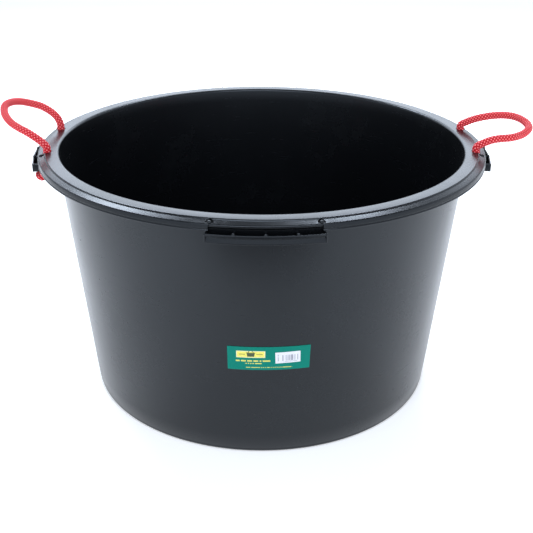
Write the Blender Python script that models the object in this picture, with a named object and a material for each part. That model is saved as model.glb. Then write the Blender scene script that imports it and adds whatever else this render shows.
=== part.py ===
"""Round mortar mixing tub, 90 litres, with two rope handles.

One moulding carries the floor, the conical wall, the rolled rim and four ribbed hand grips.
Each rope passes through two holes in the rim and is held by a knot under it.
Metres, +Z up, origin on the tub's axis at the underside of its base, label towards -Y.
"""

import math

import bmesh
import bpy
from mathutils import Vector

# Tub: outer wall radii are where the straight wall line meets the base plane and the rim plane.
HEIGHT = 0.375
BASE_RADIUS = 0.2631
MOUTH_RADIUS = 0.3015
WALL = 0.004
FLOOR = 0.0045
FOOT_FILLET = 0.0095
SEGMENTS = 72

# Rim: a flat band, a crease, a sloping rounded edge and a hanging skirt with a bead along its foot.
FLANGE = 0.004
MOUTH_FILLET = 0.0042
BAND_OUTER = 0.3160
BAND_FILLET = 0.008
CREASE_RADIUS = 0.3195
CREASE_DROP = 0.0012
EDGE_OUTER = 0.3272
EDGE_DROP = 0.0046
EDGE_FILLET = 0.003
EDGE_THICKNESS = 0.0032
SKIRT_OUTER = 0.3283
SKIRT_INNER = 0.3252
SKIRT_DROP = 0.0135
BEAD_HEIGHT = 0.0027
BEAD_STEP = 0.0007

# Hand grips: a ribbed trough outside the skirt, at the front, the back and both sides.
GRIP_COUNT = 4
GRIP_HALF_ANGLE = 12.7
GRIP_OUTER = 0.3362
GRIP_WALL = 0.0018
GRIP_TOP = HEIGHT - 0.0150
GRIP_FOOT = HEIGHT - 0.0270
GRIP_INNER_WALL = (0.3208, 0.3240)
CHANNEL_TOP = HEIGHT - 0.0052
INNER_WALL_TOP = HEIGHT - 0.0038
RIB_ANGLE = 6.65
RIB_WIDTH = 0.0032
RIB_TOP = HEIGHT - 0.0133
BOSS_RADIUS = 0.0024
BOSS_CENTRE = 0.3226
BOSS_ANGLE = 12.0
BOSS_HEIGHT = 0.003
BOSS_TOP = HEIGHT - 0.0008

# Ropes: holes through the flat of the rim on both sides, knots drawn up under the grips.
ROPE_RADIUS = 0.00575
HOLE_RADIUS = 0.0064
HOLE_CIRCLE = 0.3140
HOLE_ANGLE = 10.3
PIVOT_RISE = 0.006
GAP = 0.0003
KNOT_CIRCLE = 0.3196
KNOT_HALF_HEIGHT = 0.0095
KNOT_TOP = GRIP_FOOT - 0.0005
ROPE_POINTS = 17

# Labels, in place on the front of the wall.
LABEL_SIZE = (0.110, 0.037)
LABEL_CENTRE = (0.006, 0.1625)
LABEL_THICKNESS = 0.0003
BARCODE_SIZE = (0.0325, 0.0175)
BARCODE_CENTRE = (0.0293, 0.1638)
BARCODE_TILT = math.radians(2.0)

# Routes of the two handle loops, from the back hole to the front hole, as (x, y, height over the rim).
LEFT_ROUTE = [
    (-0.3090, 0.0561, 0.0060), (-0.3120, 0.0572, 0.0150), (-0.3185, 0.0590, 0.0225), (-0.3275, 0.0602, 0.0290),
    (-0.3385, 0.0598, 0.0350), (-0.3520, 0.0560, 0.0400), (-0.3640, 0.0485, 0.0445), (-0.3735, 0.0355, 0.0475),
    (-0.3795, 0.0210, 0.0475), (-0.3795, 0.0060, 0.0445), (-0.3735, -0.0125, 0.0400), (-0.3620, -0.0310, 0.0350),
    (-0.3490, -0.0430, 0.0310), (-0.3360, -0.0500, 0.0265), (-0.3240, -0.0540, 0.0200), (-0.3145, -0.0558, 0.0130),
    (-0.3090, -0.0561, 0.0060),
]
RIGHT_ROUTE = [
    (0.3090, 0.0561, 0.0060), (0.3165, 0.0548, 0.0110), (0.3265, 0.0520, 0.0160), (0.3410, 0.0480, 0.0210),
    (0.3560, 0.0455, 0.0240), (0.3705, 0.0395, 0.0262), (0.3840, 0.0275, 0.0270), (0.3930, 0.0100, 0.0255),
    (0.3955, -0.0075, 0.0225), (0.3905, -0.0200, 0.0200), (0.3785, -0.0355, 0.0185), (0.3600, -0.0500, 0.0185),
    (0.3440, -0.0545, 0.0185), (0.3310, -0.0562, 0.0170), (0.3185, -0.0565, 0.0125), (0.3090, -0.0561, 0.0060),
]

PLASTIC = ("black_plastic", (0.020, 0.020, 0.024), 0.38, 0.0)
ROPE = ("red_rope", (0.700, 0.080, 0.095), 0.80, 0.0)
LABEL = ("label_film", (0.014, 0.270, 0.225), 0.35, 0.0)
BARCODE = ("barcode_film", (0.780, 0.780, 0.780), 0.45, 0.0)


def clear_scene():
    for item in list(bpy.data.objects):
        bpy.data.objects.remove(item, do_unlink=True)


def material(recipe):
    name, colour, roughness, metallic = recipe
    found = bpy.data.materials.get(name)
    if found:
        return found
    made = bpy.data.materials.new(name)
    made.use_nodes = True
    shader = made.node_tree.nodes["Principled BSDF"]
    shader.inputs["Base Color"].default_value = (*colour, 1.0)
    shader.inputs["Roughness"].default_value = roughness
    shader.inputs["Metallic"].default_value = metallic
    return made


def add_object(name, data, recipe):
    item = bpy.data.objects.new(name, data)
    bpy.context.scene.collection.objects.link(item)
    data.materials.append(material(recipe))
    return item


def add_pivot(name, location):
    pivot = bpy.data.objects.new(name, None)
    bpy.context.scene.collection.objects.link(pivot)
    pivot.location = location
    bpy.context.view_layer.update()
    return pivot


def mesh_from(name, vertices, faces):
    mesh = bpy.data.meshes.new(name)
    mesh.from_pydata(vertices, [], faces)
    work = bmesh.new()
    work.from_mesh(mesh)
    bmesh.ops.recalc_face_normals(work, faces=work.faces)
    work.to_mesh(mesh)
    work.free()
    mesh.shade_smooth()
    mesh.set_sharp_from_angle(angle=math.radians(35))
    return mesh


def wall_radius(z):
    """Outer radius of the wall at a height."""
    return BASE_RADIUS + (MOUTH_RADIUS - BASE_RADIUS) * z / HEIGHT


def rounded(corners, steps=4):
    """Turns (radius, height, fillet) corners into points, with an arc at each filleted corner."""
    points = []
    for index, (r, z, fillet) in enumerate(corners):
        here = Vector((r, z))
        if not fillet:
            points.append(here)
            continue
        before = (Vector(corners[index - 1][:2]) - here).normalized()
        after = (Vector(corners[index + 1][:2]) - here).normalized()
        half = before.angle(after) / 2
        reach = fillet / math.tan(half)
        centre = here + (before + after).normalized() * (fillet / math.sin(half))
        first = here + before * reach - centre
        last = here + after * reach - centre
        turn = first.angle(last)
        for step in range(steps + 1):
            t = step / steps
            blend = first * math.sin((1 - t) * turn) + last * math.sin(t * turn)
            points.append(centre + blend / math.sin(turn))
    return points


def tub_profile():
    """Half section from the axis over the floor, up the inside, over the rim and down the outside."""
    inner_foot = wall_radius(FLOOR) - WALL
    inner_mouth = MOUTH_RADIUS - WALL
    skirt_foot = HEIGHT - SKIRT_DROP
    bead_top = skirt_foot + BEAD_HEIGHT
    under_flange = HEIGHT - FLANGE
    under_edge = HEIGHT - EDGE_DROP - EDGE_THICKNESS
    return rounded([
        (0.0, FLOOR, 0),
        (inner_foot, FLOOR, FOOT_FILLET - WALL / 2),
        (inner_mouth, HEIGHT, MOUTH_FILLET),
        (BAND_OUTER, HEIGHT, BAND_FILLET),
        (CREASE_RADIUS, HEIGHT - CREASE_DROP, 0),
        (EDGE_OUTER, HEIGHT - EDGE_DROP, EDGE_FILLET),
        (SKIRT_OUTER, bead_top + BEAD_STEP, 0),
        (SKIRT_OUTER - BEAD_STEP, bead_top, 0),
        (SKIRT_OUTER, bead_top - BEAD_STEP, 0),
        (SKIRT_OUTER, skirt_foot, 0),
        (SKIRT_INNER, skirt_foot, 0),
        (SKIRT_INNER - BEAD_STEP, under_edge, 0.001),
        (CREASE_RADIUS, under_flange - CREASE_DROP / 2, 0),
        (BAND_OUTER, under_flange, 0),
        (wall_radius(under_flange), under_flange, 0.002),
        (BASE_RADIUS, 0.0, FOOT_FILLET),
        (0.0, 0.0, 0),
    ])


def arc_block(name, section, start, end, steps):
    """Sweeps a closed (radius, height) section round +Z between two angles in degrees."""
    vertices = []
    faces = []
    count = len(section)
    for step in range(steps + 1):
        angle = math.radians(start + (end - start) * step / steps)
        vertices += [(r * math.cos(angle), r * math.sin(angle), z) for r, z in section]
    for step in range(steps):
        for index in range(count):
            a = step * count + index
            b = step * count + (index + 1) % count
            faces.append((a, b, b + count, a + count))
    faces.append(tuple(range(count)))
    faces.append(tuple(range(steps * count, (steps + 1) * count)))
    return mesh_from(name, vertices, faces)


def cylinder_mesh(name, radius, low, high, sides):
    mesh = bpy.data.meshes.new(name)
    work = bmesh.new()
    bmesh.ops.create_cone(
        work, cap_ends=True, segments=sides, radius1=radius, radius2=radius, depth=high - low
    )
    bmesh.ops.translate(work, verts=work.verts, vec=(0, 0, (low + high) / 2))
    work.to_mesh(mesh)
    work.free()
    mesh.shade_smooth()
    mesh.set_sharp_from_angle(angle=math.radians(35))
    return mesh


def guide(collection, name, mesh, location=(0, 0, 0)):
    """A solid that a Boolean reads and that isn't a part of its own."""
    item = add_object(name, mesh, PLASTIC)
    item.location = location
    item.hide_render = True
    item.display_type = "WIRE"
    bpy.context.scene.collection.objects.unlink(item)
    collection.objects.link(item)
    return item


def new_collection(name):
    made = bpy.data.collections.new(name)
    bpy.context.scene.collection.children.link(made)
    return made


def on_circle(radius, degrees, z):
    angle = math.radians(degrees)
    return Vector((radius * math.cos(angle), radius * math.sin(angle), z))


def grip_section():
    """The trough's cross-section: an inner wall that hangs from the flange, a floor and an outer wall."""
    inner_low, inner_high = GRIP_INNER_WALL
    floor_top = GRIP_FOOT + GRIP_WALL
    outer_inside = GRIP_OUTER - GRIP_WALL
    face_waist = GRIP_OUTER - 0.0007
    face_mid = (GRIP_TOP + GRIP_FOOT) / 2
    return [
        (inner_low, GRIP_FOOT), (GRIP_OUTER, GRIP_FOOT), (face_waist, face_mid), (GRIP_OUTER, GRIP_TOP),
        (outer_inside, GRIP_TOP), (outer_inside, floor_top), (inner_high, floor_top),
        (inner_high, INNER_WALL_TOP), (inner_low, INNER_WALL_TOP),
    ]


def add_grip(unions, number, turn):
    trough = arc_block("grip", grip_section(), turn - GRIP_HALF_ANGLE, turn + GRIP_HALF_ANGLE, 10)
    guide(unions, f"grip_{number}_guide", trough)
    half_rib = math.degrees(RIB_WIDTH / 2 / GRIP_OUTER)
    inside = GRIP_INNER_WALL[0] + GRIP_WALL / 2
    outside = GRIP_OUTER - GRIP_WALL / 2
    low = GRIP_FOOT + GRIP_WALL / 2
    end = GRIP_HALF_ANGLE - half_rib - 0.05
    walls = [(-RIB_ANGLE, RIB_TOP), (0, RIB_TOP), (RIB_ANGLE, RIB_TOP), (-end, GRIP_TOP - 0.0006), (end, GRIP_TOP - 0.0006)]
    for index, (angle, top) in enumerate(walls):
        section = [(inside, low), (outside, low), (outside, top - 0.001), (outside - 0.001, top), (inside, top)]
        rib = arc_block("rib", section, turn + angle - half_rib, turn + angle + half_rib, 1)
        guide(unions, f"grip_{number}_rib_{index}_guide", rib)
    for side in (-1, 1):
        boss = cylinder_mesh("boss", BOSS_RADIUS, BOSS_TOP - BOSS_HEIGHT, BOSS_TOP, 10)
        guide(unions, f"grip_{number}_boss_{side}_guide", boss, on_circle(BOSS_CENTRE, turn + side * BOSS_ANGLE, 0))


def add_channel(cutters, number, turn):
    """Cuts the skirt away over a grip, so that the trough is open from above."""
    inside = GRIP_INNER_WALL[1]
    outside = SKIRT_OUTER + 0.002
    foot = HEIGHT - SKIRT_DROP - 0.001
    section = [(inside, foot), (outside, foot), (outside, CHANNEL_TOP), (inside, CHANNEL_TOP)]
    half = GRIP_HALF_ANGLE - math.degrees(RIB_WIDTH / GRIP_OUTER)
    guide(cutters, f"channel_{number}_cutter", arc_block("channel", section, turn - half, turn + half, 10))


def boolean(item, name, operation, collection):
    modifier = item.modifiers.new(name, "BOOLEAN")
    modifier.operation = operation
    modifier.solver = "EXACT"
    modifier.operand_type = "COLLECTION"
    modifier.collection = collection
    return modifier


def add_tub():
    profile = tub_profile()
    mesh = bpy.data.meshes.new("tub_shell")
    edges = [(index, index + 1) for index in range(len(profile) - 1)]
    mesh.from_pydata([(r, 0.0, z) for r, z in profile], edges, [])
    tub = add_object("tub_shell", mesh, PLASTIC)
    screw = tub.modifiers.new("turned_wall", "SCREW")
    screw.axis = "Z"
    screw.angle = math.tau
    screw.steps = SEGMENTS
    screw.render_steps = SEGMENTS
    screw.use_merge_vertices = True
    screw.merge_threshold = 0.00005
    screw.use_smooth_shade = True

    channels = new_collection("channel_cutters")
    unions = new_collection("grip_guides")
    cutters = new_collection("hole_cutters")
    for number in range(GRIP_COUNT):
        turn = number * 360 / GRIP_COUNT
        add_channel(channels, number, turn)
        add_grip(unions, number, turn)
    for name, centre in HOLES.items():
        drill = cylinder_mesh("drill", HOLE_RADIUS, HEIGHT - 0.010, HEIGHT + 0.010, 24)
        guide(cutters, f"hole_{name}_cutter", drill, (centre.x, centre.y, 0))
    boolean(tub, "channels", "DIFFERENCE", channels)
    boolean(tub, "grips", "UNION", unions).use_self = True
    boolean(tub, "rope_holes", "DIFFERENCE", cutters)


def smooth_route(points, count):
    """Evenly spaced points on a smooth curve through the route's points."""
    points = [Vector(point) for point in points]
    padded = [2 * points[0] - points[1], *points, 2 * points[-1] - points[-2]]
    fine = []
    for index in range(1, len(padded) - 2):
        p0, p1, p2, p3 = padded[index - 1:index + 3]
        for step in range(12):
            t = step / 12
            fine.append(0.5 * (
                2 * p1 + (p2 - p0) * t + (2 * p0 - 5 * p1 + 4 * p2 - p3) * t ** 2
                + (3 * p1 - p0 - 3 * p2 + p3) * t ** 3
            ))
    fine.append(points[-1])
    lengths = [0.0]
    for a, b in zip(fine, fine[1:]):
        lengths.append(lengths[-1] + (b - a).length)
    result = []
    for step in range(count):
        target = lengths[-1] * step / (count - 1)
        index = max(1, next(i for i, value in enumerate(lengths) if value >= target - 1e-9))
        span = lengths[index] - lengths[index - 1]
        result.append(fine[index - 1].lerp(fine[index], (target - lengths[index - 1]) / span))
    return result


def rope_curve(name, points, radii):
    curve = bpy.data.curves.new(name, "CURVE")
    curve.dimensions = "3D"
    curve.bevel_depth = ROPE_RADIUS
    curve.bevel_resolution = 2
    curve.use_fill_caps = True
    spline = curve.splines.new("POLY")
    spline.points.add(len(points) - 1)
    for target, point, radius in zip(spline.points, points, radii):
        target.co = (*point, 1.0)
        target.radius = radius
    return curve


def add_loop(name, route, pivot):
    """The free stretch of a handle, with a ball end centred on each hole's pivot point."""
    centre_line = smooth_route([(x, y, HEIGHT + z) for x, y, z in route], ROPE_POINTS)
    ball = [(-0.96, 0.28), (-0.8, 0.60), (-0.5, 0.87)]
    points = [centre_line[0] + Vector((0, 0, drop * ROPE_RADIUS)) for drop, _ in ball]
    points += centre_line
    points += [centre_line[-1] + Vector((0, 0, drop * ROPE_RADIUS)) for drop, _ in reversed(ball)]
    radii = [radius for _, radius in ball] + [1.0] * len(centre_line) + [radius for _, radius in reversed(ball)]
    local = [point - pivot.matrix_world.translation for point in points]
    loop = add_object(name, rope_curve(name, local, radii), ROPE)
    loop.parent = pivot
    return loop


def add_tail(name, centre):
    """The straight stretch through a rim hole, down to its knot."""
    top = HEIGHT + PIVOT_RISE - ROPE_RADIUS - GAP
    mesh = cylinder_mesh(name, ROPE_RADIUS, KNOT_TOP + GAP - top, 0.0, 12)
    tail = add_object(name, mesh, ROPE)
    tail.location = (centre.x, centre.y, top)
    return tail


def add_knot(name, degrees, towards_grip):
    """A drawn-up overhand knot that lies along the rim, its free end tucked in beside the wall.

    Each ring is (place along the rim, shift from the knot's circle, half depth, half height).
    """
    full = KNOT_HALF_HEIGHT
    rings = [
        (-0.0150, 0.0000, 0.0050, 0.0050), (-0.0132, 0.0000, 0.0092, 0.0070), (-0.0095, 0.0000, 0.0124, 0.0090),
        (-0.0030, 0.0000, 0.0136, full), (0.0030, 0.0000, 0.0134, full), (0.0095, -0.0005, 0.0116, 0.0090),
        (0.0130, -0.0025, 0.0086, 0.0070), (0.0152, -0.0060, 0.0060, 0.0058), (0.0270, -0.0110, 0.0057, 0.0056),
    ]
    sides = 14
    vertices = []
    for along, shift, depth, height in rings:
        for step in range(sides):
            angle = math.tau * step / sides
            vertices.append((shift + depth * math.cos(angle), along * towards_grip, height * math.sin(angle)))
    faces = [tuple(range(sides))]
    for ring in range(len(rings) - 1):
        for step in range(sides):
            a = ring * sides + step
            b = ring * sides + (step + 1) % sides
            faces.append((a, b, b + sides, a + sides))
    faces.append(tuple(range((len(rings) - 1) * sides, len(rings) * sides)))
    knot = add_object(name, mesh_from(name, vertices, faces), ROPE)
    knot.location = on_circle(KNOT_CIRCLE, degrees, KNOT_TOP - KNOT_HALF_HEIGHT)
    knot.rotation_euler = (0, 0, math.radians(degrees))
    return knot


def add_handle(side, route):
    """One rope handle: the loop swings about the line through its two holes, over its tails."""
    front = HOLES[f"{side}_front"]
    pivot = add_pivot(f"{side}_swing", (front.x, 0.0, HEIGHT + PIVOT_RISE))
    add_loop(f"rope_loop_{side}", route, pivot)
    for end in ("front", "back"):
        hole = f"{side}_{end}"
        clockwise = end == ("front" if side == "left" else "back")
        add_tail(f"rope_tail_{hole}", HOLES[hole])
        add_knot(f"knot_{hole}", HOLE_TURNS[hole], -1 if clockwise else 1)


def add_label(name, size, centre, lift, tilt, recipe):
    """A thin plate that follows the wall's cone: centre is (arc from the front, height)."""
    columns = 12
    vertices = []
    for column in range(columns + 1):
        along = size[0] * (column / columns - 0.5)
        for rise in (-size[1] / 2, size[1] / 2):
            arc = centre[0] + along * math.cos(tilt) - rise * math.sin(tilt)
            z = centre[1] + along * math.sin(tilt) + rise * math.cos(tilt)
            for depth in (lift, lift + LABEL_THICKNESS):
                radius = wall_radius(z) + depth
                angle = -math.pi / 2 + arc / wall_radius(centre[1])
                vertices.append((radius * math.cos(angle), radius * math.sin(angle), z))
    faces = [(0, 1, 3, 2)]
    for column in range(columns):
        a = column * 4
        b = a + 4
        faces += [(a, a + 1, b + 1, b), (a + 1, a + 3, b + 3, b + 1), (a + 3, a + 2, b + 2, b + 3)]
        faces.append((a + 2, a, b, b + 2))
    last = columns * 4
    faces.append((last, last + 2, last + 3, last + 1))
    return add_object(name, mesh_from(name, vertices, faces), recipe)


HOLE_TURNS = {
    "right_front": -HOLE_ANGLE,
    "right_back": HOLE_ANGLE,
    "left_back": 180 - HOLE_ANGLE,
    "left_front": 180 + HOLE_ANGLE,
}
HOLES = {name: on_circle(HOLE_CIRCLE, turn, 0.0) for name, turn in HOLE_TURNS.items()}


def main():
    clear_scene()
    add_tub()
    add_handle("left", LEFT_ROUTE)
    add_handle("right", RIGHT_ROUTE)
    add_label("product_label", LABEL_SIZE, LABEL_CENTRE, GAP, 0.0, LABEL)
    lift = 2 * GAP + LABEL_THICKNESS
    add_label("barcode_label", BARCODE_SIZE, BARCODE_CENTRE, lift, BARCODE_TILT, BARCODE)


main()
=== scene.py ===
"""Finish of a round builder's mixing tub: moulded shell, ribbed grips, braided rope handles and labels."""

import math

import bpy
import numpy as np
from mathutils import Matrix, Vector


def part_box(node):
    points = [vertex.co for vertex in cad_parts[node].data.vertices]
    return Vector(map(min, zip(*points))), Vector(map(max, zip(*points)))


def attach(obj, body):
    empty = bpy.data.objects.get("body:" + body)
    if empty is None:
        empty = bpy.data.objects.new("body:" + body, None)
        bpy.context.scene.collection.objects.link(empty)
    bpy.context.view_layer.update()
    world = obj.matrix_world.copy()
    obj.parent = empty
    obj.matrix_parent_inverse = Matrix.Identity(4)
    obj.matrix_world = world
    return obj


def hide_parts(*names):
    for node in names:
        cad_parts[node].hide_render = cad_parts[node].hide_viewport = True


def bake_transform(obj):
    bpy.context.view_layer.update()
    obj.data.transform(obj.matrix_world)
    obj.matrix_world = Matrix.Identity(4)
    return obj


bl_info = {
    "name": "Mortar Mixing Tub",
    "version": (1, 0, 0),
    "blender": (4, 5, 0),
    "location": "3D View > Sidebar > Tub",
    "description": "Builds the visible pieces of a mixing tub with two rope handles",
    "category": "Object",
}

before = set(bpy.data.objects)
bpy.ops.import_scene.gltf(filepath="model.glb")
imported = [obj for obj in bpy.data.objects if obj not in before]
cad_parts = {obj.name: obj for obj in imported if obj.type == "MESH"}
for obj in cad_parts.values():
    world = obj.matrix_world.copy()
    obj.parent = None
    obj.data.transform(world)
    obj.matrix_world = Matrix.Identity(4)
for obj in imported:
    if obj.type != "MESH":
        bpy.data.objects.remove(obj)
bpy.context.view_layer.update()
TUB_LOW, TUB_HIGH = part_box("tub_shell")
TOP = TUB_HIGH.z
MM = 0.001
GRIP_OUTER = TUB_HIGH.x
GRIP_LOW = TOP - 25.5 * MM
GRIP_HIGH = TOP - 13.5 * MM
TURNS = {"right": 0.0, "back": 90.0, "left": 180.0, "front": -90.0}

# Routes of the two handle loops, from the back hole to the front hole, as (x, y, height over the rim).
ROUTES = {
    "left": [
        (-0.3090, 0.0561, 0.0060), (-0.3120, 0.0572, 0.0150), (-0.3185, 0.0590, 0.0225), (-0.3275, 0.0602, 0.0290),
        (-0.3385, 0.0598, 0.0350), (-0.3520, 0.0560, 0.0400), (-0.3640, 0.0485, 0.0445), (-0.3735, 0.0355, 0.0475),
        (-0.3795, 0.0210, 0.0475), (-0.3795, 0.0060, 0.0445), (-0.3735, -0.0125, 0.0400),
        (-0.3620, -0.0310, 0.0350), (-0.3490, -0.0430, 0.0310), (-0.3360, -0.0500, 0.0265),
        (-0.3240, -0.0540, 0.0200), (-0.3145, -0.0558, 0.0130), (-0.3090, -0.0561, 0.0060),
    ],
    "right": [
        (0.3090, 0.0561, 0.0060), (0.3165, 0.0548, 0.0110), (0.3265, 0.0520, 0.0160), (0.3410, 0.0480, 0.0210),
        (0.3560, 0.0455, 0.0240), (0.3705, 0.0395, 0.0262), (0.3840, 0.0275, 0.0270), (0.3930, 0.0100, 0.0255),
        (0.3955, -0.0075, 0.0225), (0.3905, -0.0200, 0.0200), (0.3785, -0.0355, 0.0185),
        (0.3600, -0.0500, 0.0185), (0.3440, -0.0545, 0.0185), (0.3310, -0.0562, 0.0170),
        (0.3185, -0.0565, 0.0125), (0.3090, -0.0561, 0.0060),
    ],
}


class TubSizes(bpy.types.PropertyGroup):
    """Sizes of the moulding."""

    base_radius: bpy.props.FloatProperty(
        name="Base radius", description="Where the wall line meets the ground", default=0.2631, unit="LENGTH")
    mouth_radius: bpy.props.FloatProperty(
        name="Mouth radius", description="Where the wall line meets the rim plane",
        default=0.3015, unit="LENGTH")
    wall: bpy.props.FloatProperty(
        name="Wall", description="Thickness of the wall and of the rim", default=0.004, unit="LENGTH")
    band_outer: bpy.props.FloatProperty(
        name="Band edge", description="Where the rim's flat band slopes off", default=0.3160, unit="LENGTH")
    crease_radius: bpy.props.FloatProperty(
        name="Crease", description="Where the rim's rounded edge starts", default=0.3195, unit="LENGTH")
    crease_drop: bpy.props.FloatProperty(
        name="Crease drop", description="How far the crease lies below the band",
        default=0.0012, unit="LENGTH")
    edge_drop: bpy.props.FloatProperty(
        name="Edge drop", description="How far the edge's shoulder lies below the band",
        default=0.0046, unit="LENGTH")
    channel_inner: bpy.props.FloatProperty(
        name="Channel", description="Inner radius of the open channel in a grip",
        default=0.3240, unit="LENGTH")
    skirt_outer: bpy.props.FloatProperty(
        name="Skirt radius", description="Outer radius of the hanging skirt", default=0.3283, unit="LENGTH")
    skirt_drop: bpy.props.FloatProperty(
        name="Skirt depth", description="How far the skirt hangs below the rim",
        default=0.0135, unit="LENGTH")
    grip_half_angle: bpy.props.FloatProperty(
        name="Grip half angle", description="Half of the arc that a grip spans, in degrees", default=12.7)
    around: bpy.props.IntProperty(
        name="Facets", description="Facets round the tub", default=288, min=48)


class RopeSizes(bpy.types.PropertyGroup):
    """Sizes of the braided rope."""

    diameter: bpy.props.FloatProperty(
        name="Diameter", description="Rope diameter", default=0.0115, unit="LENGTH")
    strands: bpy.props.IntProperty(
        name="Strands", description="Strands braided in each direction", default=6, min=4)
    lay: bpy.props.FloatProperty(
        name="Lay", description="Length of one full turn of a strand", default=0.0276, unit="LENGTH")
    relief: bpy.props.FloatProperty(
        name="Relief", description="Height of a strand over the gaps", default=0.0012, unit="LENGTH")
    hole_circle: bpy.props.FloatProperty(
        name="Hole circle", description="Radius at which the rim holes stand", default=0.3140, unit="LENGTH")
    hole_angle: bpy.props.FloatProperty(
        name="Hole angle", description="Angle of a hole from the handle's middle, in degrees", default=10.3)
    hole_radius: bpy.props.FloatProperty(
        name="Hole radius", description="Radius of a rim hole", default=0.0064, unit="LENGTH")


class Finishes(bpy.types.PropertyGroup):
    """Colours of the pieces."""

    plastic: bpy.props.FloatVectorProperty(
        name="Plastic", description="Moulded plastic", subtype="COLOR", default=(0.0030, 0.0033, 0.0040))
    rope: bpy.props.FloatVectorProperty(
        name="Rope", description="Rope fibre", subtype="COLOR", default=(0.950, 0.020, 0.030))
    label: bpy.props.FloatVectorProperty(
        name="Label", description="Printed film", subtype="COLOR", default=(0.001, 0.215, 0.155))
    ink: bpy.props.FloatVectorProperty(
        name="Ink", description="Bright print on the label", subtype="COLOR", default=(0.860, 0.780, 0.160))


class Value:
    """A number or colour travelling through a material's nodes, so that maths reads as Python."""

    def __init__(self, nodes, socket):
        self.nodes = nodes
        self.socket = socket

    def _math(self, operation, first, second=None):
        values = {0: first} if second is None else {0: first, 1: second}
        return self.nodes.add("ShaderNodeMath", {"operation": operation}, values)

    def __add__(self, other):
        return self._math("ADD", self, other)

    def __sub__(self, other):
        return self._math("SUBTRACT", self, other)

    def __mul__(self, other):
        return self._math("MULTIPLY", self, other)

    def __truediv__(self, other):
        return self._math("DIVIDE", self, other)

    def __pow__(self, other):
        return self._math("POWER", self, other)

    def __rsub__(self, other):
        return self._math("SUBTRACT", other, self)

    __radd__ = __add__
    __rmul__ = __mul__

    def apply(self, operation, other=None):
        """One Math node with this value first, such as SINE, FLOOR, MINIMUM or GREATER_THAN."""
        return self._math(operation, self, other)

    def between(self, low, high):
        """0 below low, 1 above high and smooth in between."""
        return self.nodes.add(
            "ShaderNodeMapRange", {"interpolation_type": "SMOOTHSTEP"},
            {"Value": self, "From Min": low, "From Max": high})


class Nodes:
    """A material and the means to add nodes to it."""

    def __init__(self, name, roughness, **uniform):
        self.material = bpy.data.materials.new(name)
        self.material.use_nodes = True
        self.tree = self.material.node_tree
        self.shader = self.tree.nodes["Principled BSDF"]
        self.shader.inputs["Roughness"].default_value = roughness
        for socket, value in uniform.items():
            self.shader.inputs[socket.replace("_", " ")].default_value = value

    def add(self, kind, settings=None, values=None, output=0):
        """Adds a node: its settings first, then its sockets' numbers or links, and returns one output."""
        node = self.tree.nodes.new(kind)
        for key, value in (settings or {}).items():
            if key == "stops":
                self._stops(node.color_ramp, value)
            else:
                setattr(node, key, value)
        for key, value in (values or {}).items():
            self.feed(node.inputs[key], value)
        return Value(self, node.outputs[output])

    def feed(self, socket, value):
        if isinstance(value, Value):
            self.tree.links.new(value.socket, socket)
        else:
            socket.default_value = value

    def _stops(self, ramp, stops):
        while len(ramp.elements) < len(stops):
            ramp.elements.new(0.5)
        for element, (place, grey) in zip(ramp.elements, stops):
            element.position = place
            element.color = (grey, grey, grey, 1.0)

    def place(self, kind="Object"):
        return self.add("ShaderNodeTexCoord", output=["Generated", "Normal", "UV", "Object"].index(kind))

    def scaled(self, vector, scale, shift=(0, 0, 0)):
        return self.add("ShaderNodeMapping", {}, {"Vector": vector, "Scale": scale, "Location": shift})

    def noise(self, vector, scale, detail=3.0, rough=0.5):
        return self.add(
            "ShaderNodeTexNoise", {}, {"Vector": vector, "Scale": scale, "Detail": detail, "Roughness": rough})

    def axes(self, vector):
        return [self.add("ShaderNodeSeparateXYZ", {}, {0: vector}, output=index) for index in range(3)]

    def mix(self, factor, first, second):
        """Mixes two colours, given as triples or values."""
        colours = {}
        for index, colour in ((6, first), (7, second)):
            colours[index] = colour if isinstance(colour, Value) else (*colour, 1.0)
        colours[0] = factor
        return self.add("ShaderNodeMix", {"data_type": "RGBA"}, colours, output=2)

    def bump(self, height, distance, strength=1.0, under=None):
        values = {"Height": height, "Distance": distance, "Strength": strength}
        if under:
            values["Normal"] = under
        return self.add("ShaderNodeBump", {}, values)

    def finish(self, colour=None, roughness=None, normal=None, glow=None):
        feeds = {"Base Color": colour, "Roughness": roughness, "Normal": normal, "Emission Color": glow}
        for socket, value in feeds.items():
            if value is not None:
                self.feed(self.shader.inputs[socket], value)
        return self.material


def plastic_material(finishes):
    """Black moulded polyethylene: fine grain, faint flow marks down the wall, handling scuffs and dust."""
    nodes = Nodes("black_plastic", 0.30, Specular_IOR_Level=0.46, Specular_Tint=(0.86, 0.93, 1.0, 1.0))
    place = nodes.place()
    cloud = nodes.noise(place, 9.0, 4.0, 0.6)
    flow = nodes.noise(nodes.scaled(place, (26.0, 26.0, 1.6)), 1.0, 3.0, 0.55)
    fine = nodes.noise(place, 900.0, 2.0)
    scuff = nodes.noise(nodes.scaled(place, (14.0, 14.0, 190.0)), 1.0, 5.0, 0.7).between(0.60, 0.78)
    dust = nodes.noise(place, 60.0, 6.0, 0.7).between(0.45, 0.85) * cloud.between(0.48, 0.75)
    dark = tuple(finishes.plastic)
    grey = tuple(2.2 * part + 0.004 for part in dark)
    colour = nodes.mix(dust * 0.55 + scuff * 0.20, dark, grey)
    roughness = 0.185 + cloud * 0.10 + flow * 0.05 + scuff * 0.10 + dust * 0.10
    normal = nodes.bump(fine, 0.00006, 0.35)
    normal = nodes.bump(flow * 0.7 + cloud * 0.3, 0.0006, 0.30, normal)
    return nodes.finish(colour, roughness, normal)


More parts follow.
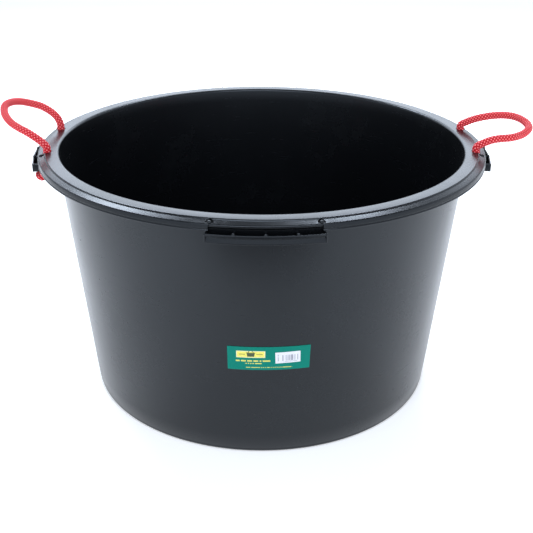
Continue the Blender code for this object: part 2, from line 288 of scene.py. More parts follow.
def rope_material(finishes, sizes):
    """Braided polypropylene: fine filaments along each strand, painted shade in the gaps between strands, a painted
    highlight on each strand's crown and a dusty bloom.
    """
    nodes = Nodes("braided_rope", 0.62, Specular_IOR_Level=0.30)
    turn, along, _ = nodes.axes(nodes.place("UV"))
    right = turn * sizes.strands + along * sizes.strands
    left = turn * sizes.strands - along * sizes.strands
    over = ((right.apply("FLOOR") + left.apply("FLOOR")) * 0.5).apply("FRACT").apply("GREATER_THAN", 0.25)
    across_right = right.apply("FRACT")
    across_left = left.apply("FRACT")
    across = across_right + (across_left - across_right) * over
    run = across_left + (across_right - across_left) * over
    crown = (across * math.pi).apply("SINE") * (run * math.pi).apply("SINE")
    filament = (across * (math.tau * 5.0)).apply("SINE") * 0.5 + 0.5
    fleck = nodes.noise(nodes.place(), 420.0, 4.0, 0.65)
    patch = nodes.noise(nodes.place(), 45.0, 3.0)
    bright = tuple(finishes.rope)
    # Below: the colour of the painted shade in the gaps between strands, then the pale tint used both for the painted
    # highlight on the crowns and for the dusty bloom.
    painted_gap_shade = tuple(part * 0.55 for part in bright)
    pale = (min(1.0, bright[0] * 1.18), bright[1] + 0.46, bright[2] + 0.46)
    # Painted shade: each strand darkens towards the gaps beside it, on top of the braid's real relief.
    colour = nodes.mix(crown.between(0.10, 0.50), painted_gap_shade, bright)
    # Painted highlight: a pale, near-white tint on each strand's crown.
    colour = nodes.mix(crown.between(0.66, 0.94) * (filament * 0.15 + fleck * 0.30 + 0.70), colour, pale)
    colour = nodes.mix(patch.between(0.5, 0.8) * 0.12, colour, pale)
    roughness = 0.52 + fleck * 0.22
    normal = nodes.bump(filament * crown.between(0.0, 0.35) + fleck * 0.6, 0.00022, 0.75)
    return nodes.finish(colour, roughness, normal)


def box_mask(nodes, u, v, centre, size, soft=0.25):
    """1 inside a rectangle on the label, whose coordinates are in millimetres."""
    across = (u - centre[0]).apply("ABSOLUTE")
    rise = (v - centre[1]).apply("ABSOLUTE")
    return (1 - across.between(size[0] / 2 - soft, size[0] / 2)) * (1 - rise.between(size[1] / 2 - soft, size[1] / 2))


def dashes(nodes, u, v, centre, size, pitch, seed):
    """A row of short bars of uneven length, in place of a line of print."""
    step = (u / pitch).apply("FLOOR")
    uneven = ((step * 12.9898 + seed).apply("SINE") * 43.7585).apply("FRACT")
    within = (u / pitch).apply("FRACT")
    lit = 1 - within.between(0.50, 0.62)
    lit = lit.apply("MAXIMUM", uneven.apply("GREATER_THAN", 0.45))
    return lit * box_mask(nodes, u, v, centre, size)


def label_material(finishes):
    """Printed film: a plain panel with a tub pictogram, and bars where a maker would print words."""
    nodes = Nodes("printed_label", 0.34, Specular_IOR_Level=0.12)
    u, v, _ = nodes.axes(nodes.scaled(nodes.place("UV"), (110.0, 37.0, 1.0), (-55.0, -18.5, 0.0)))
    panel = box_mask(nodes, u, v, (-24.0, 6.6), (39.0, 11.5), 1.0)
    frame_line = panel - box_mask(nodes, u, v, (-24.0, 6.6), (36.6, 9.3), 0.6)
    body = (v - 5.6).apply("ABSOLUTE").between(2.6, 2.9)
    slope = ((u + 24.0).apply("ABSOLUTE") - (v - 2.7) * 0.18).between(4.3, 4.6)
    pictogram = (1 - body) * (1 - slope)
    rim = box_mask(nodes, u, v, (-24.0, 8.9), (12.4, 1.2))
    handle = ((u + 24.0) ** 2.0).apply("ADD", ((v - 9.0) ** 2.0)).apply("SQRT")
    left_bar = box_mask(nodes, u, v, (-35.5, 6.6), (8.5, 1.1))
    bars = left_bar.apply("MAXIMUM", box_mask(nodes, u, v, (-12.5, 6.6), (8.5, 1.1)))
    arc = (1 - (handle - 3.4).apply("ABSOLUTE").between(0.35, 0.6)) * v.apply("GREATER_THAN", 9.2)
    dark = pictogram.apply("MAXIMUM", rim).apply("MAXIMUM", bars).apply("MAXIMUM", arc) * panel
    lines = dashes(nodes, u, v, (-21.0, -3.9), (46.0, 2.5), 4.1, 1.0)
    lines = lines.apply("MAXIMUM", dashes(nodes, u, v, (-21.0, -8.0), (23.0, 1.8), 3.1, 2.3))
    lines = lines.apply("MAXIMUM", dashes(nodes, u, v, (0.5, -14.4), (62.0, 1.5), 2.6, 4.1) * 0.9)
    wear = nodes.noise(nodes.place(), 260.0, 4.0, 0.6)
    base = nodes.mix(wear * 0.25, tuple(finishes.label), tuple(0.75 * part for part in finishes.label))
    colour = nodes.mix(lines * (0.75 + wear * 0.25), base, tuple(finishes.ink))
    colour = nodes.mix(panel, colour, tuple(finishes.ink))
    colour = nodes.mix(frame_line * 0.55, colour, (0.92, 0.92, 0.80))
    colour = nodes.mix(dark * 0.92, colour, (0.020, 0.055, 0.050))
    return nodes.finish(colour, 0.28 + wear * 0.16, nodes.bump(wear, 0.00008, 0.4))


def barcode_material():
    """White film with a block of upright bars and two short rows of plain dashes."""
    nodes = Nodes("barcode_film", 0.40, Specular_IOR_Level=0.45)
    u, v, _ = nodes.axes(nodes.scaled(nodes.place("UV"), (32.5, 17.5, 1.0), (-16.25, -8.75, 0.0)))
    step = (u * 1.9).apply("FLOOR")
    uneven = ((step * 7.13).apply("SINE") * 31.77).apply("FRACT")
    bars = uneven.apply("GREATER_THAN", 0.42) * box_mask(nodes, u, v, (3.0, -0.6), (21.0, 9.5))
    foot = dashes(nodes, u, v, (3.0, -6.5), (18.0, 1.0), 2.0, 3.3)
    side = dashes(nodes, v, u, (0.0, -12.6), (11.0, 1.6), 2.4, 5.0) * 0.8
    ink = bars.apply("MAXIMUM", foot).apply("MAXIMUM", side)
    fade = nodes.noise(nodes.place(), 180.0, 3.0)
    colour = nodes.mix(ink * (0.55 + fade * 0.3), (0.80, 0.80, 0.83), (0.20, 0.20, 0.26))
    return nodes.finish(colour, 0.34 + fade * 0.12, nodes.bump(fade, 0.00006, 0.3))


def floor_material():
    """A pale floor that also glows, with a painted shadow: a near-black area in front of the tub, which the wall and
    the front grip reflect.
    """
    nodes = Nodes("studio_floor", 0.85, Specular_IOR_Level=0.1, Emission_Strength=0.45)
    place = nodes.place()
    x, y, _ = nodes.axes(place)
    cloud = nodes.noise(place, 3.0, 2.0)
    pale = nodes.mix(cloud, (0.93, 0.93, 0.93), (0.95, 0.95, 0.95))
    # Painted shadow: a near-black patch on the floor in front of the tub, there only so that the wall and the front
    # grip reflect something dark.
    middle = 1 - x.apply("ABSOLUTE").between(0.20, 0.62)
    front = middle * (1 - y.between(-0.86, -0.60)) * y.between(-2.0, -1.6)
    colour = nodes.mix(front * 0.88, pale, (0.02, 0.02, 0.025))
    return nodes.finish(colour, 0.82 + cloud * 0.08, glow=colour)


def deselect():
    if bpy.context.object and bpy.context.object.mode != "OBJECT":
        bpy.ops.object.mode_set(mode="OBJECT")
    bpy.ops.object.select_all(action="DESELECT")


def edit_all():
    bpy.ops.object.mode_set(mode="EDIT")
    bpy.ops.mesh.select_mode(type="VERT")
    bpy.ops.mesh.select_all(action="SELECT")


def outline_ring(points, closed=True):
    """An edge loop through the points, started as a circle primitive of as many corners."""
    deselect()
    bpy.ops.mesh.primitive_circle_add(vertices=len(points), radius=1.0)
    ring = bpy.context.object
    for vertex, point in zip(ring.data.vertices, points):
        vertex.co = point
    if not closed:
        bpy.ops.object.mode_set(mode="EDIT")
        bpy.ops.mesh.select_mode(type="EDGE")
        bpy.ops.mesh.select_all(action="DESELECT")
        bpy.ops.object.mode_set(mode="OBJECT")
        ends = {0, len(points) - 1}
        for edge in ring.data.edges:
            edge.select = set(edge.vertices) == ends
        bpy.ops.object.mode_set(mode="EDIT")
        bpy.ops.mesh.delete(type="EDGE")
        bpy.ops.mesh.select_mode(type="VERT")
        bpy.ops.object.mode_set(mode="OBJECT")
    return ring


def spun(name, section, angle, steps, closed=True):
    """Turns a (radius, height) section about the tub's axis, from +X towards -Y."""
    piece = outline_ring([(r, 0.0, z) for r, z in section], closed)
    edit_all()
    bpy.ops.mesh.spin(steps=steps, angle=angle, center=(0, 0, 0), axis=(0, 0, 1))
    bpy.ops.mesh.select_all(action="SELECT")
    bpy.ops.mesh.remove_doubles(threshold=0.000004)
    if angle < math.tau:
        bpy.ops.mesh.select_all(action="DESELECT")
        bpy.ops.mesh.select_non_manifold()
        bpy.ops.mesh.edge_face_add()
        bpy.ops.mesh.select_all(action="SELECT")
    bpy.ops.mesh.normals_make_consistent(inside=False)
    bpy.ops.object.mode_set(mode="OBJECT")
    piece.name = name
    piece.data.name = name
    return piece


def finish_piece(piece, material, body, nodes, angle=32):
    """Smooth shading, the piece's material, its body and the CAD nodes it stands for."""
    deselect()
    piece.select_set(True)
    bpy.context.view_layer.objects.active = piece
    bpy.ops.object.transform_apply(location=True, rotation=True, scale=True)
    bpy.ops.object.shade_smooth_by_angle(angle=math.radians(angle))
    piece.data.materials.clear()
    piece.data.materials.append(material)
    if body:
        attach(piece, body)
    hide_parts(*nodes)
    return piece


def rounded(corners, steps=6):
    """Turns (radius, height, fillet) corners into points, with an arc at each filleted corner."""
    points = []
    count = len(corners)
    for index, (r, z, fillet) in enumerate(corners):
        here = Vector((r, z))
        if not fillet:
            points.append(here)
            continue
        before = (Vector(corners[index - 1][:2]) - here).normalized()
        after = (Vector(corners[(index + 1) % count][:2]) - here).normalized()
        half = before.angle(after) / 2
        reach = fillet / math.tan(half)
        centre = here + (before + after).normalized() * (fillet / math.sin(half))
        first = here + before * reach - centre
        last = here + after * reach - centre
        turn = first.angle(last)
        for step in range(steps + 1):
            t = step / steps
            spoke = (first * math.sin((1 - t) * turn) + last * math.sin(t * turn)) / math.sin(turn)
            points.append(centre + spoke)
    return points


def wall_radius(z):
    sizes = bpy.context.scene.tub_sizes
    return sizes.base_radius + (sizes.mouth_radius - sizes.base_radius) * z / TOP


def on_circle(radius, degrees, z):
    return Vector((radius * math.cos(math.radians(degrees)), radius * math.sin(math.radians(degrees)), z))


def tub_section():
    """Half section from the axis over the floor, up the inside, over the rim and down the outside."""
    sizes = bpy.context.scene.tub_sizes
    skirt = sizes.skirt_outer
    foot = TOP - sizes.skirt_drop
    crease = TOP - sizes.crease_drop
    middle = [(wall_radius(z) - sizes.wall, z, 0) for z in np.linspace(0.03, TOP - 0.02, 12)]
    outside = [(wall_radius(z), z, 0) for z in np.linspace(TOP - 0.02, 0.03, 12)]
    return rounded([
        (0.0, 4.5 * MM, 0),
        (0.12, 4.5 * MM, 0),
        (wall_radius(0.0045) - sizes.wall, 4.5 * MM, 7.5 * MM),
        *middle,
        (sizes.mouth_radius - sizes.wall, TOP, 4.2 * MM),
        (sizes.band_outer + 1.2 * MM, TOP, 2.2 * MM),
        (sizes.crease_radius - 1.1 * MM, crease - 0.7 * MM, 0.5 * MM),
        (skirt - 1.1 * MM, TOP - sizes.edge_drop + 0.3 * MM, 2.6 * MM),
        (skirt, foot + 3.8 * MM, 0.8 * MM),
        (skirt - 0.8 * MM, foot + 2.7 * MM, 0.6 * MM),
        (skirt + 0.2 * MM, foot + 1.5 * MM, 0.5 * MM),
        (skirt, foot, 0.6 * MM),
        (skirt - 3.1 * MM, foot, 0.6 * MM),
        (skirt - 3.8 * MM, TOP - sizes.edge_drop - 3.2 * MM, 1.0 * MM),
        (sizes.crease_radius, crease - 3.4 * MM, 0),
        (sizes.band_outer, TOP - 4.0 * MM, 0),
        (wall_radius(TOP - 4.0 * MM), TOP - 4.0 * MM, 2.0 * MM),
        *outside,
        (sizes.base_radius + 0.6 * MM, 7.2 * MM, 0),
        (sizes.base_radius + 0.1 * MM, 6.4 * MM, 0),
        (sizes.base_radius, 0.0, 6.0 * MM),
        (0.12, 0.0, 0),
        (0.0, 0.0, 0),
    ])


def cut(piece, cutter):
    """Takes the cutter's shape out of the piece."""
    deselect()
    bpy.context.view_layer.objects.active = piece
    modifier = piece.modifiers.new("cut", "BOOLEAN")
    modifier.operation = "DIFFERENCE"
    modifier.solver = "EXACT"
    modifier.object = cutter
    bpy.ops.object.modifier_apply(modifier=modifier.name)
    bpy.data.objects.remove(cutter)


def hole_places():
    sizes = bpy.context.scene.rope_sizes
    return {
        (side, end): on_circle(sizes.hole_circle, TURNS[side] + turn * sizes.hole_angle, 0.0)
        for side in ("left", "right")
        for end, turn in (("front", 1 if side == "left" else -1), ("back", -1 if side == "left" else 1))
    }


class TUB_OT_stage(bpy.types.Operator):
    """Makes the camera, the pale floor and the soft lights"""

    bl_idname = "tub.stage"
    bl_label = "Stage"

    def execute(self, context):
        camera = bpy.data.objects.new("camera", bpy.data.cameras.new("camera"))
        context.scene.collection.objects.link(camera)
        turn = Matrix.Rotation(math.radians(-1.2), 4, "Z")
        tilt = Matrix.Rotation(math.radians(90 - 25.03), 4, "X")
        roll = Matrix.Rotation(math.radians(0.36), 4, "Z")
        camera.matrix_world = turn @ Matrix.Translation((0.0079, -1.3519, 0.7971)) @ tilt @ roll
        camera.data.lens = 63.5
        camera.data.sensor_width = 36.0
        camera.data.clip_start = 0.05
        context.scene.camera = camera

        deselect()
        bpy.ops.mesh.primitive_plane_add(size=14.0, location=(0, 0, -0.0005))
        floor = context.object
        floor.name = "floor"
        floor.data.materials.append(floor_material())

        world = bpy.data.worlds.new("studio")
        world.use_nodes = True
        background = world.node_tree.nodes["Background"]
        background.inputs["Color"].default_value = (0.80, 0.88, 1.0, 1.0)
        sky = world.node_tree.nodes.new("ShaderNodeTexCoord")
        height = world.node_tree.nodes.new("ShaderNodeSeparateXYZ")
        fade = world.node_tree.nodes.new("ShaderNodeMapRange")
        for socket, value in {"From Min": 0.45, "From Max": 0.80, "To Min": 1.12, "To Max": 0.30}.items():
            fade.inputs[socket].default_value = value
        world.node_tree.links.new(sky.outputs["Generated"], height.inputs[0])
        world.node_tree.links.new(height.outputs["Z"], fade.inputs["Value"])
        world.node_tree.links.new(fade.outputs["Result"], background.inputs["Strength"])
        context.scene.world = world
        context.scene.view_settings.view_transform = "Standard"
        lights = [
            ("back_box", (0.0, 2.6, 1.45), (3.4, 1.2), 31.0),
            ("left_box", (-0.95, 1.45, 2.1), (1.1, 0.5), 30.0),
            ("right_box", (0.60, 1.40, 2.3), (0.6, 0.5), 18.0),
            ("front_box", (0.0, -2.2, 2.6), (2.6, 1.0), 45.0),
        ]
        for name, place, size, power in lights:
            lamp = bpy.data.lights.new(name, "AREA")
            lamp.shape = "RECTANGLE"
            lamp.size, lamp.size_y = size
            lamp.energy = power
            lamp.color = (0.80, 0.88, 1.0)
            item = bpy.data.objects.new(name, lamp)
            context.scene.collection.objects.link(item)
            item.location = place
            item.rotation_euler = (Vector((0, 0, 0.3)) - Vector(place)).to_track_quat("-Z", "Y").to_euler()
        return {"FINISHED"}


class TUB_OT_shell(bpy.types.Operator):
    """Makes the moulded shell with its rim, rope holes and boss seats"""

    bl_idname = "tub.shell"
    bl_label = "Shell"

    def execute(self, context):
        sizes = context.scene.tub_sizes
        shell = spun("shell", tub_section(), math.tau, sizes.around, closed=False)
        for turn in TURNS.values():
            cut(shell, self.channel(turn, sizes))
        for place in hole_places().values():
            cut(shell, self.drill(place, context.scene.rope_sizes.hole_radius))
        for turn in TURNS.values():
            for side in (-1, 1):
                deselect()
                seat = on_circle(0.3226, turn + side * 12.0, TOP)
                bpy.ops.mesh.primitive_cylinder_add(vertices=36, radius=0.0050, depth=0.0078, location=seat)
                cut(shell, context.object)
        finish_piece(shell, SHARED["plastic"], "tub", ["tub_shell"])
        return {"FINISHED"}

    def channel(self, turn, sizes):
        """A cutter that opens the skirt over a grip, so that the trough shows from above."""
        foot = TOP - sizes.skirt_drop - 1.0 * MM
        top = TOP - sizes.edge_drop - 0.6 * MM
        outside = sizes.skirt_outer + 2.0 * MM
        section = [(sizes.channel_inner, foot), (outside, foot), (outside, top), (sizes.channel_inner, top)]
        half = sizes.grip_half_angle - 0.55
        tool = spun("channel", section, math.radians(2 * half), 30)
        tool.data.transform(Matrix.Rotation(math.radians(turn + half), 4, "Z"))
        return tool

    def drill(self, place, radius):
        """A cutter with a small countersink at the rim's face."""
        low, high = TOP - 16.0 * MM, TOP + 5.0 * MM
        wide = radius + 0.8 * MM
        section = [
            (0.0, low), (radius, low), (radius, TOP - 0.8 * MM),
            (wide, TOP + 0.1 * MM), (wide, high), (0.0, high),
        ]
        tool = spun("drill", section, math.tau, 48, closed=False)
        tool.data.transform(Matrix.Translation((place.x, place.y, 0.0)))
        return tool


def grip_section():
    """The trough in section: an inner wall under the skirt, a floor and a waisted outer wall."""
    low, high = GRIP_LOW, GRIP_HIGH
    inner = 320.8 * MM
    floor = bpy.context.scene.tub_sizes.channel_inner
    out = GRIP_OUTER
    return rounded([
        (inner, low, 0.5 * MM),
        (out, low, 0.9 * MM),
        (out, low + 1.8 * MM, 0.8 * MM),
        (out - 2.2 * MM, high - 4.6 * MM, 1.4 * MM),
        (out - 0.4 * MM, high - 3.3 * MM, 0.6 * MM),
        (out - 0.4 * MM, high, 0.7 * MM),
        (out - 2.2 * MM, high, 0.7 * MM),
        (out - 3.8 * MM, high - 5.0 * MM, 1.0 * MM),
        (out - 3.8 * MM, low + 1.9 * MM, 0.8 * MM),
        (floor, low + 1.9 * MM, 0.8 * MM),
        (floor, TOP - 10.0 * MM, 0),
        (inner, TOP - 10.0 * MM, 0),
    ], 3)


class TUB_OT_grips(bpy.types.Operator):
    """Makes the four ribbed hand grips and the small bosses at their ends"""

    bl_idname = "tub.grips"
    bl_label = "Hand grips"

    def execute(self, context):
        half = context.scene.tub_sizes.grip_half_angle
        parts = [self.trough(half)]
        for angle in (-6.65, 0.0, 6.65):
            parts.append(self.rib(angle, 1.6 * MM, GRIP_HIGH + 0.6 * MM, 2.6 * MM))
            parts.append(self.dome(GRIP_OUTER - 2.5 * MM, angle, GRIP_HIGH, 2.4 * MM, 1.0))
        for side in (-1, 1):
            parts.append(self.rib(side * (half - 0.22), 1.1 * MM, GRIP_HIGH, -0.1 * MM))
            parts.append(self.dome(0.3226, side * 12.0, TOP - 3.6 * MM, 2.9 * MM, 0.85))
        deselect()
        for part in parts:
            part.select_set(True)
        context.view_layer.objects.active = parts[0]
        bpy.ops.object.join()
        pattern = context.object
        for name, turn in TURNS.items():
            copy = pattern.copy()
            copy.data = pattern.data.copy()
            copy.name = f"grip_{name}"
            copy.data.name = copy.name
            copy.data.transform(Matrix.Rotation(math.radians(turn), 4, "Z"))
            context.scene.collection.objects.link(copy)
            finish_piece(copy, SHARED["plastic"], "tub", ["tub_shell"], 40)
        bpy.data.objects.remove(pattern)
        return {"FINISHED"}

    def trough(self, half):
        piece = spun("trough", grip_section(), math.radians(2 * half), 30)
        piece.data.transform(Matrix.Rotation(math.radians(half), 4, "Z"))
        for vertex in piece.data.vertices:
            share = min(1.0, (vertex.co.z - GRIP_LOW) / (GRIP_HIGH - GRIP_LOW))
            angle = math.atan2(vertex.co.y, vertex.co.x) * (0.968 + 0.032 * share)
            radius = math.hypot(vertex.co.x, vertex.co.y)
            vertex.co.x = radius * math.cos(angle)
            vertex.co.y = radius * math.sin(angle)
        return piece

    def rib(self, angle, half_width, top, inset):
        """A web across the trough with a rounded crest that stands over the outer wall."""
        low = GRIP_LOW + 0.3 * MM
        crest = [(half_width * math.cos(t), top - half_width + half_width * math.sin(t))
                 for t in np.linspace(0, math.pi, 9)]
        section = [(-half_width, low), (half_width, low), *crest]
        inner = 321.6 * MM
        outer = GRIP_OUTER - inset
        piece = outline_ring([(inner, y, z) for y, z in section])
        edit_all()
        bpy.ops.mesh.edge_face_add()
        bpy.ops.mesh.extrude_region_move(TRANSFORM_OT_translate={"value": (outer - inner, 0, 0)})
        bpy.ops.mesh.select_all(action="SELECT")
        bpy.ops.mesh.remove_doubles(threshold=0.00002)
        bpy.ops.mesh.normals_make_consistent(inside=False)
        bpy.ops.object.mode_set(mode="OBJECT")
        for edge in piece.data.edges:
            edge.select = all(piece.data.vertices[index].co.x > outer - 1e-5 for index in edge.vertices)
        for face in piece.data.polygons:
            face.select = face.normal.x > 0.9
        bpy.ops.object.mode_set(mode="EDIT")
        bpy.ops.mesh.select_mode(type="FACE")
        bpy.ops.mesh.bevel(offset=0.6 * MM, segments=3)
        bpy.ops.mesh.select_mode(type="VERT")
        bpy.ops.object.mode_set(mode="OBJECT")
        piece.data.transform(Matrix.Rotation(math.radians(angle), 4, "Z"))
        return piece

    def dome(self, radius, angle, height, size, squash):
        """A small round stud: a rib's knob on the outer wall, or a boss in its seat on the rim."""
        place = on_circle(radius, angle, height)
        deselect()
        bpy.ops.mesh.primitive_uv_sphere_add(segments=24, ring_count=12, radius=size, location=place)
        piece = bpy.context.object
        bpy.ops.object.transform_apply(location=True, rotation=True, scale=True)
        edit_all()
        bpy.ops.transform.resize(value=(1, 1, squash), center_override=tuple(place))
        bpy.ops.object.mode_set(mode="OBJECT")
        return piece


def smooth_route(points, spacing):
    """Evenly spaced points on a smooth curve through the route's points."""
    points = [Vector(point) for point in points]
    padded = [2 * points[0] - points[1], *points, 2 * points[-1] - points[-2]]
    fine = []
    for index in range(1, len(padded) - 2):
        p0, p1, p2, p3 = padded[index - 1:index + 3]
        for step in range(16):
            t = step / 16
            fine.append(0.5 * (
                2 * p1 + (p2 - p0) * t + (2 * p0 - 5 * p1 + 4 * p2 - p3) * t ** 2
                + (3 * p1 - p0 - 3 * p2 + p3) * t ** 3))
    fine.append(points[-1])
    fine = np.array([tuple(point) for point in fine])
    lengths = np.concatenate([[0.0], np.cumsum(np.linalg.norm(np.diff(fine, axis=0), axis=1))])
    count = max(4, round(lengths[-1] / spacing))
    targets = np.linspace(0.0, lengths[-1], count + 1)
    return np.stack([np.interp(targets, lengths, fine[:, axis]) for axis in range(3)], axis=1), lengths[-1]


def braided_tube(name, route, radius, spacing, sides, taper=None):
    """A rope along the route whose surface stands up in braided strands. UV: turns round, lays along."""
    sizes = bpy.context.scene.rope_sizes
    centre, length = smooth_route(route, spacing)
    rings = len(centre)
    tangent = np.gradient(centre, axis=0)
    tangent /= np.linalg.norm(tangent, axis=1)[:, None]
    start = np.cross(tangent[0], (0.0, 1.0, 0.0))
    if np.linalg.norm(start) < 0.1:
        start = np.cross(tangent[0], (1.0, 0.0, 0.0))
    normals = [start / np.linalg.norm(start)]
    for step in range(1, rings):
        side = normals[-1] - tangent[step] * np.dot(normals[-1], tangent[step])
        normals.append(side / np.linalg.norm(side))
    normals = np.array(normals)
    binormals = np.cross(tangent, normals)
    turn = np.arange(sides) / sides
    along = np.linspace(0.0, length / sizes.lay, rings)
    right = sizes.strands * (turn[None, :] + along[:, None])
    left = sizes.strands * (turn[None, :] - along[:, None])
    over = (np.floor(right) + np.floor(left)) % 2
    across = np.where(over > 0.5, left, right) % 1.0
    run = np.where(over > 0.5, right, left) % 1.0
    crown = np.sin(np.pi * across) ** 0.65 * (0.30 + 0.70 * np.sin(np.pi * run) ** 0.7)
    reach = radius - sizes.relief * (1.0 - crown)
    if taper is not None:
        reach = reach * taper(np.linspace(0.0, 1.0, rings))[:, None]
    angle = math.tau * turn
    points = (centre[:, None, :]
              + reach[:, :, None] * (np.cos(angle)[None, :, None] * normals[:, None, :]
                                     + np.sin(angle)[None, :, None] * binormals[:, None, :]))
    vertices = np.concatenate([points.reshape(-1, 3), centre[:1], centre[-1:]])
    faces = []
    uvs = []
    for ring in range(rings - 1):
        for step in range(sides):
            a = ring * sides + step
            b = ring * sides + (step + 1) % sides
            faces.append((a, b, b + sides, a + sides))
            low, high = step / sides, (step + 1) / sides
            uvs += [(low, along[ring]), (high, along[ring]), (high, along[ring + 1]), (low, along[ring + 1])]
    first, last = len(vertices) - 2, len(vertices) - 1
    for step in range(sides):
        after = (step + 1) % sides
        faces.append((first, after, step))
        faces.append((last, (rings - 1) * sides + step, (rings - 1) * sides + after))
        uvs += [(0.5, along[0])] * 3 + [(0.5, along[-1])] * 3
    mesh = bpy.data.meshes.new(name)
    mesh.from_pydata(vertices.tolist(), [], faces)
    layer = mesh.uv_layers.new(name="UVMap")
    layer.data.foreach_set("uv", np.array(uvs, np.float32).ravel())
    piece = bpy.data.objects.new(name, mesh)
    bpy.context.scene.collection.objects.link(piece)
    return piece, centre, length


# Each side's knots: their circle about the tub's axis, their lift, and how far they are squeezed.
KNOT_PLACE = {"left": (0.3196, 2.4 * MM, 1.0), "right": (0.3130, 5.0 * MM, 0.8)}


def knot_frame(side, end):
    """Centre, direction along the rim towards the grip's middle, and outward direction of a knot."""
    low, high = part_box(f"knot_{side}_{end}")
    sizes = bpy.context.scene.rope_sizes
    turn = TURNS[side] + (1 if (side == "left") == (end == "front") else -1) * sizes.hole_angle
    outward = on_circle(1.0, turn, 0.0)
    towards = Vector((0, 1, 0)) if end == "front" else Vector((0, -1, 0))
    along = (towards - outward * towards.dot(outward)).normalized()
    circle, lift, _ = KNOT_PLACE[side]
    return on_circle(circle, turn, (low.z + high.z) / 2 + lift), along, outward


class TUB_OT_ropes(bpy.types.Operator):
    """Makes the two braided rope handles with their knots"""

    bl_idname = "tub.ropes"
    bl_label = "Rope handles"

    def execute(self, context):
        sizes = context.scene.rope_sizes
        holes = hole_places()
        for side, route in ROUTES.items():
            knots = [self.knot(side, end) for end in ("back", "front")]
            self.rope(side, route, holes, knots, sizes)
        return {"FINISHED"}

    def rope(self, side, route, holes, knots, sizes):
        loop = [(x, y, TOP + z) for x, y, z in route]
        ends = []
        for end in ("back", "front"):
            hole = holes[side, end]
            centre, _, outward = knot_frame(side, end)
            top = Vector((hole.x, hole.y, 0)) + outward * 0.001
            ends.append([
                (top.x, top.y, centre.z + 0.0065), (hole.x, hole.y, TOP - 0.016), (hole.x, hole.y, TOP - 0.004),
            ])
        points = ends[0] + loop + ends[1][::-1]
        name = f"rope_{side}"
        rope, centre, length = braided_tube(name, points, sizes.diameter / 2, 0.0005, 64)
        finish_piece(
            rope, SHARED["rope"], None,
            [f"rope_loop_{side}", f"rope_tail_{side}_front", f"rope_tail_{side}_back"], 80)
        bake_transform(rope)
        [tuple(point) for point in centre[::8]] + [tuple(centre[-1])]

    def knot(self, side, end):
        """An overhand knot drawn up tight under the rim: three lobes, with the free end beside the wall."""
        centre, along, outward = knot_frame(side, end)
        up = Vector((0, 0, 1))
        path = [(-5.6, 0.0, 13.0), (-5.7, 0.2, 9.0)]
        for turn in np.linspace(math.pi / 6, math.pi * 11 / 6, 31):
            reach = 3.1 * (2 + math.cos(3 * turn))
            where = 2 * turn + math.pi * 2 / 3
            path.append((reach * math.cos(where), reach * math.sin(where), 2.8 * math.sin(3 * turn)))
        path += [(0.2, 12.0, -3.6), (-4.0, 17.5, -2.0), (-9.5, 24.0, -1.0)]
        squeeze = KNOT_PLACE[side][2]
        points = [centre + (outward * o * squeeze + along * a + up * u) * MM for o, a, u in path]

        def melted_end(share):
            return 1.0 - 0.35 * np.clip((share - 0.975) / 0.025, 0.0, 1.0) ** 2

        piece, _, _ = braided_tube(f"knot_rope_{side}_{end}", points, 4.6 * MM, 0.6 * MM, 48, melted_end)
        finish_piece(piece, SHARED["rope"], "tub", [f"knot_{side}_{end}"], 80)
        return piece


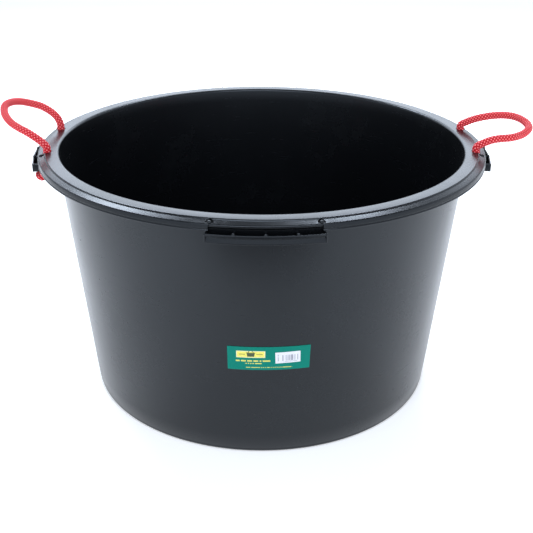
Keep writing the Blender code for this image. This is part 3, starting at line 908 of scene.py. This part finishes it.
class TUB_OT_labels(bpy.types.Operator):
    """Makes the printed label and the barcode sticker on the wall"""

    bl_idname = "tub.labels"
    bl_label = "Labels"

    def execute(self, context):
        plates = [
            ("label_print", "product_label", (0.110, 0.037), (0.006, 0.1625), 0.00028, 0.0, "label",
             "label_film"),
            ("barcode_print", "barcode_label", (0.0334, 0.0175), (0.0312, 0.1638), 0.00065, 2.0, "barcode",
             "barcode_film"),
        ]
        for name, node, size, centre, lift, tilt, material, slot in plates:
            plate = self.plate(name, size, centre, lift, math.radians(tilt))
            finish_piece(plate, SHARED[material], "tub", [node], 40)
        return {"FINISHED"}

    def plate(self, name, size, centre, lift, tilt):
        """A thin film with rounded corners, cut into strips and wrapped onto the wall's cone."""
        deselect()
        bpy.ops.mesh.primitive_plane_add(size=1.0)
        plate = bpy.context.object
        plate.name = name
        plate.data.name = name
        edit_all()
        bpy.ops.transform.resize(value=(size[0], size[1], 1), center_override=(0, 0, 0))
        bpy.ops.mesh.bevel(offset=0.0006, segments=4, affect="VERTICES")
        for cut_at in np.linspace(-0.5, 0.5, 41)[1:-1]:
            bpy.ops.mesh.select_all(action="SELECT")
            bpy.ops.mesh.bisect(plane_co=(cut_at * size[0], 0, 0), plane_no=(1, 0, 0))
        bpy.ops.object.mode_set(mode="OBJECT")
        layer = plate.data.uv_layers.active or plate.data.uv_layers.new(name="UVMap")
        for loop in plate.data.loops:
            flat = plate.data.vertices[loop.vertex_index].co
            layer.data[loop.index].uv = (flat.x / size[0] + 0.5, flat.y / size[1] + 0.5)
        for vertex in plate.data.vertices:
            x, y = vertex.co.x, vertex.co.y
            arc = centre[0] + x * math.cos(tilt) - y * math.sin(tilt)
            z = centre[1] + x * math.sin(tilt) + y * math.cos(tilt)
            radius = wall_radius(z) + lift
            angle = -math.pi / 2 + arc / wall_radius(centre[1])
            vertex.co = (radius * math.cos(angle), radius * math.sin(angle), z)
        deselect()
        plate.select_set(True)
        bpy.context.view_layer.objects.active = plate
        solid = plate.modifiers.new("film", "SOLIDIFY")
        solid.thickness = 0.00022
        solid.offset = 1.0
        bpy.ops.object.modifier_apply(modifier=solid.name)
        return plate


class TUB_PT_panel(bpy.types.Panel):
    """Buttons for the tub's pieces"""

    bl_idname = "TUB_PT_panel"
    bl_label = "Mixing Tub"
    bl_space_type = "VIEW_3D"
    bl_region_type = "UI"
    bl_category = "Tub"

    def draw(self, context):
        for operator in OPERATORS:
            self.layout.operator(operator.bl_idname)
        for group in (context.scene.tub_sizes, context.scene.rope_sizes, context.scene.tub_finishes):
            for name in group.bl_rna.properties.keys():
                if name not in ("rna_type", "name"):
                    self.layout.prop(group, name)


OPERATORS = (TUB_OT_stage, TUB_OT_ropes, TUB_OT_shell, TUB_OT_grips, TUB_OT_labels)
GROUPS = (TubSizes, RopeSizes, Finishes)
SHARED = {}


def register():
    for item in (*GROUPS, *OPERATORS, TUB_PT_panel):
        bpy.utils.register_class(item)
    bpy.types.Scene.tub_sizes = bpy.props.PointerProperty(type=TubSizes)
    bpy.types.Scene.rope_sizes = bpy.props.PointerProperty(type=RopeSizes)
    bpy.types.Scene.tub_finishes = bpy.props.PointerProperty(type=Finishes)


def unregister():
    del bpy.types.Scene.tub_finishes
    del bpy.types.Scene.rope_sizes
    del bpy.types.Scene.tub_sizes
    for item in (TUB_PT_panel, *reversed(OPERATORS), *reversed(GROUPS)):
        bpy.utils.unregister_class(item)


def main():
    register()
    scene = bpy.context.scene
    SHARED["plastic"] = plastic_material(scene.tub_finishes)
    SHARED["rope"] = rope_material(scene.tub_finishes, scene.rope_sizes)
    SHARED["label"] = label_material(scene.tub_finishes)
    SHARED["barcode"] = barcode_material()
    for operator in OPERATORS:
        group, name = operator.bl_idname.split(".")
        getattr(getattr(bpy.ops, group), name)()


if __name__ == "__main__":
    main()
